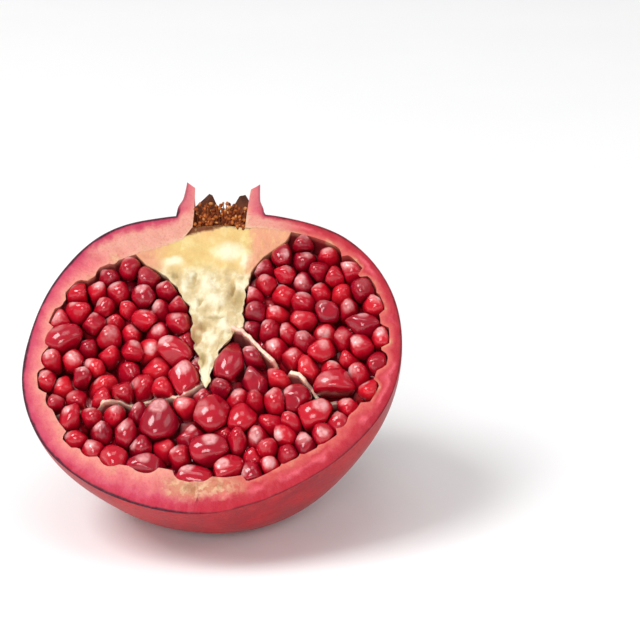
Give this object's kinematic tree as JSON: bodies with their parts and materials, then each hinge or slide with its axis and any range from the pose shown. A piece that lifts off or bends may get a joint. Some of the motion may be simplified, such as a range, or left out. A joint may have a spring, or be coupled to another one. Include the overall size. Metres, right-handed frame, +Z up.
{
  "type": "halved pomegranate",
  "caption": "Pomegranate half cut from crown to base, leaning back on its rind, with packed red arils around cream pith and a short open crown.",
  "frame": {"origin": "centre of the bounding box, on the surface the half rests on", "axes": "+Z up; +X to the right of the cut face; the cut face looks towards -Y and up, with the crown towards +Y and up"},
  "size_m": [0.0916, 0.0752, 0.076],
  "materials": {
    "rind": "satin",
    "pith": "matte",
    "arils": "gloss",
    "stamens": "matte"
  },
  "bodies": {
    "root": {"rind": "rind", "pith": "pith", "arils_left": "arils", "arils_right": "arils", "arils_lower": "arils", "stamens": "stamens"}
  },
  "joints": []
}
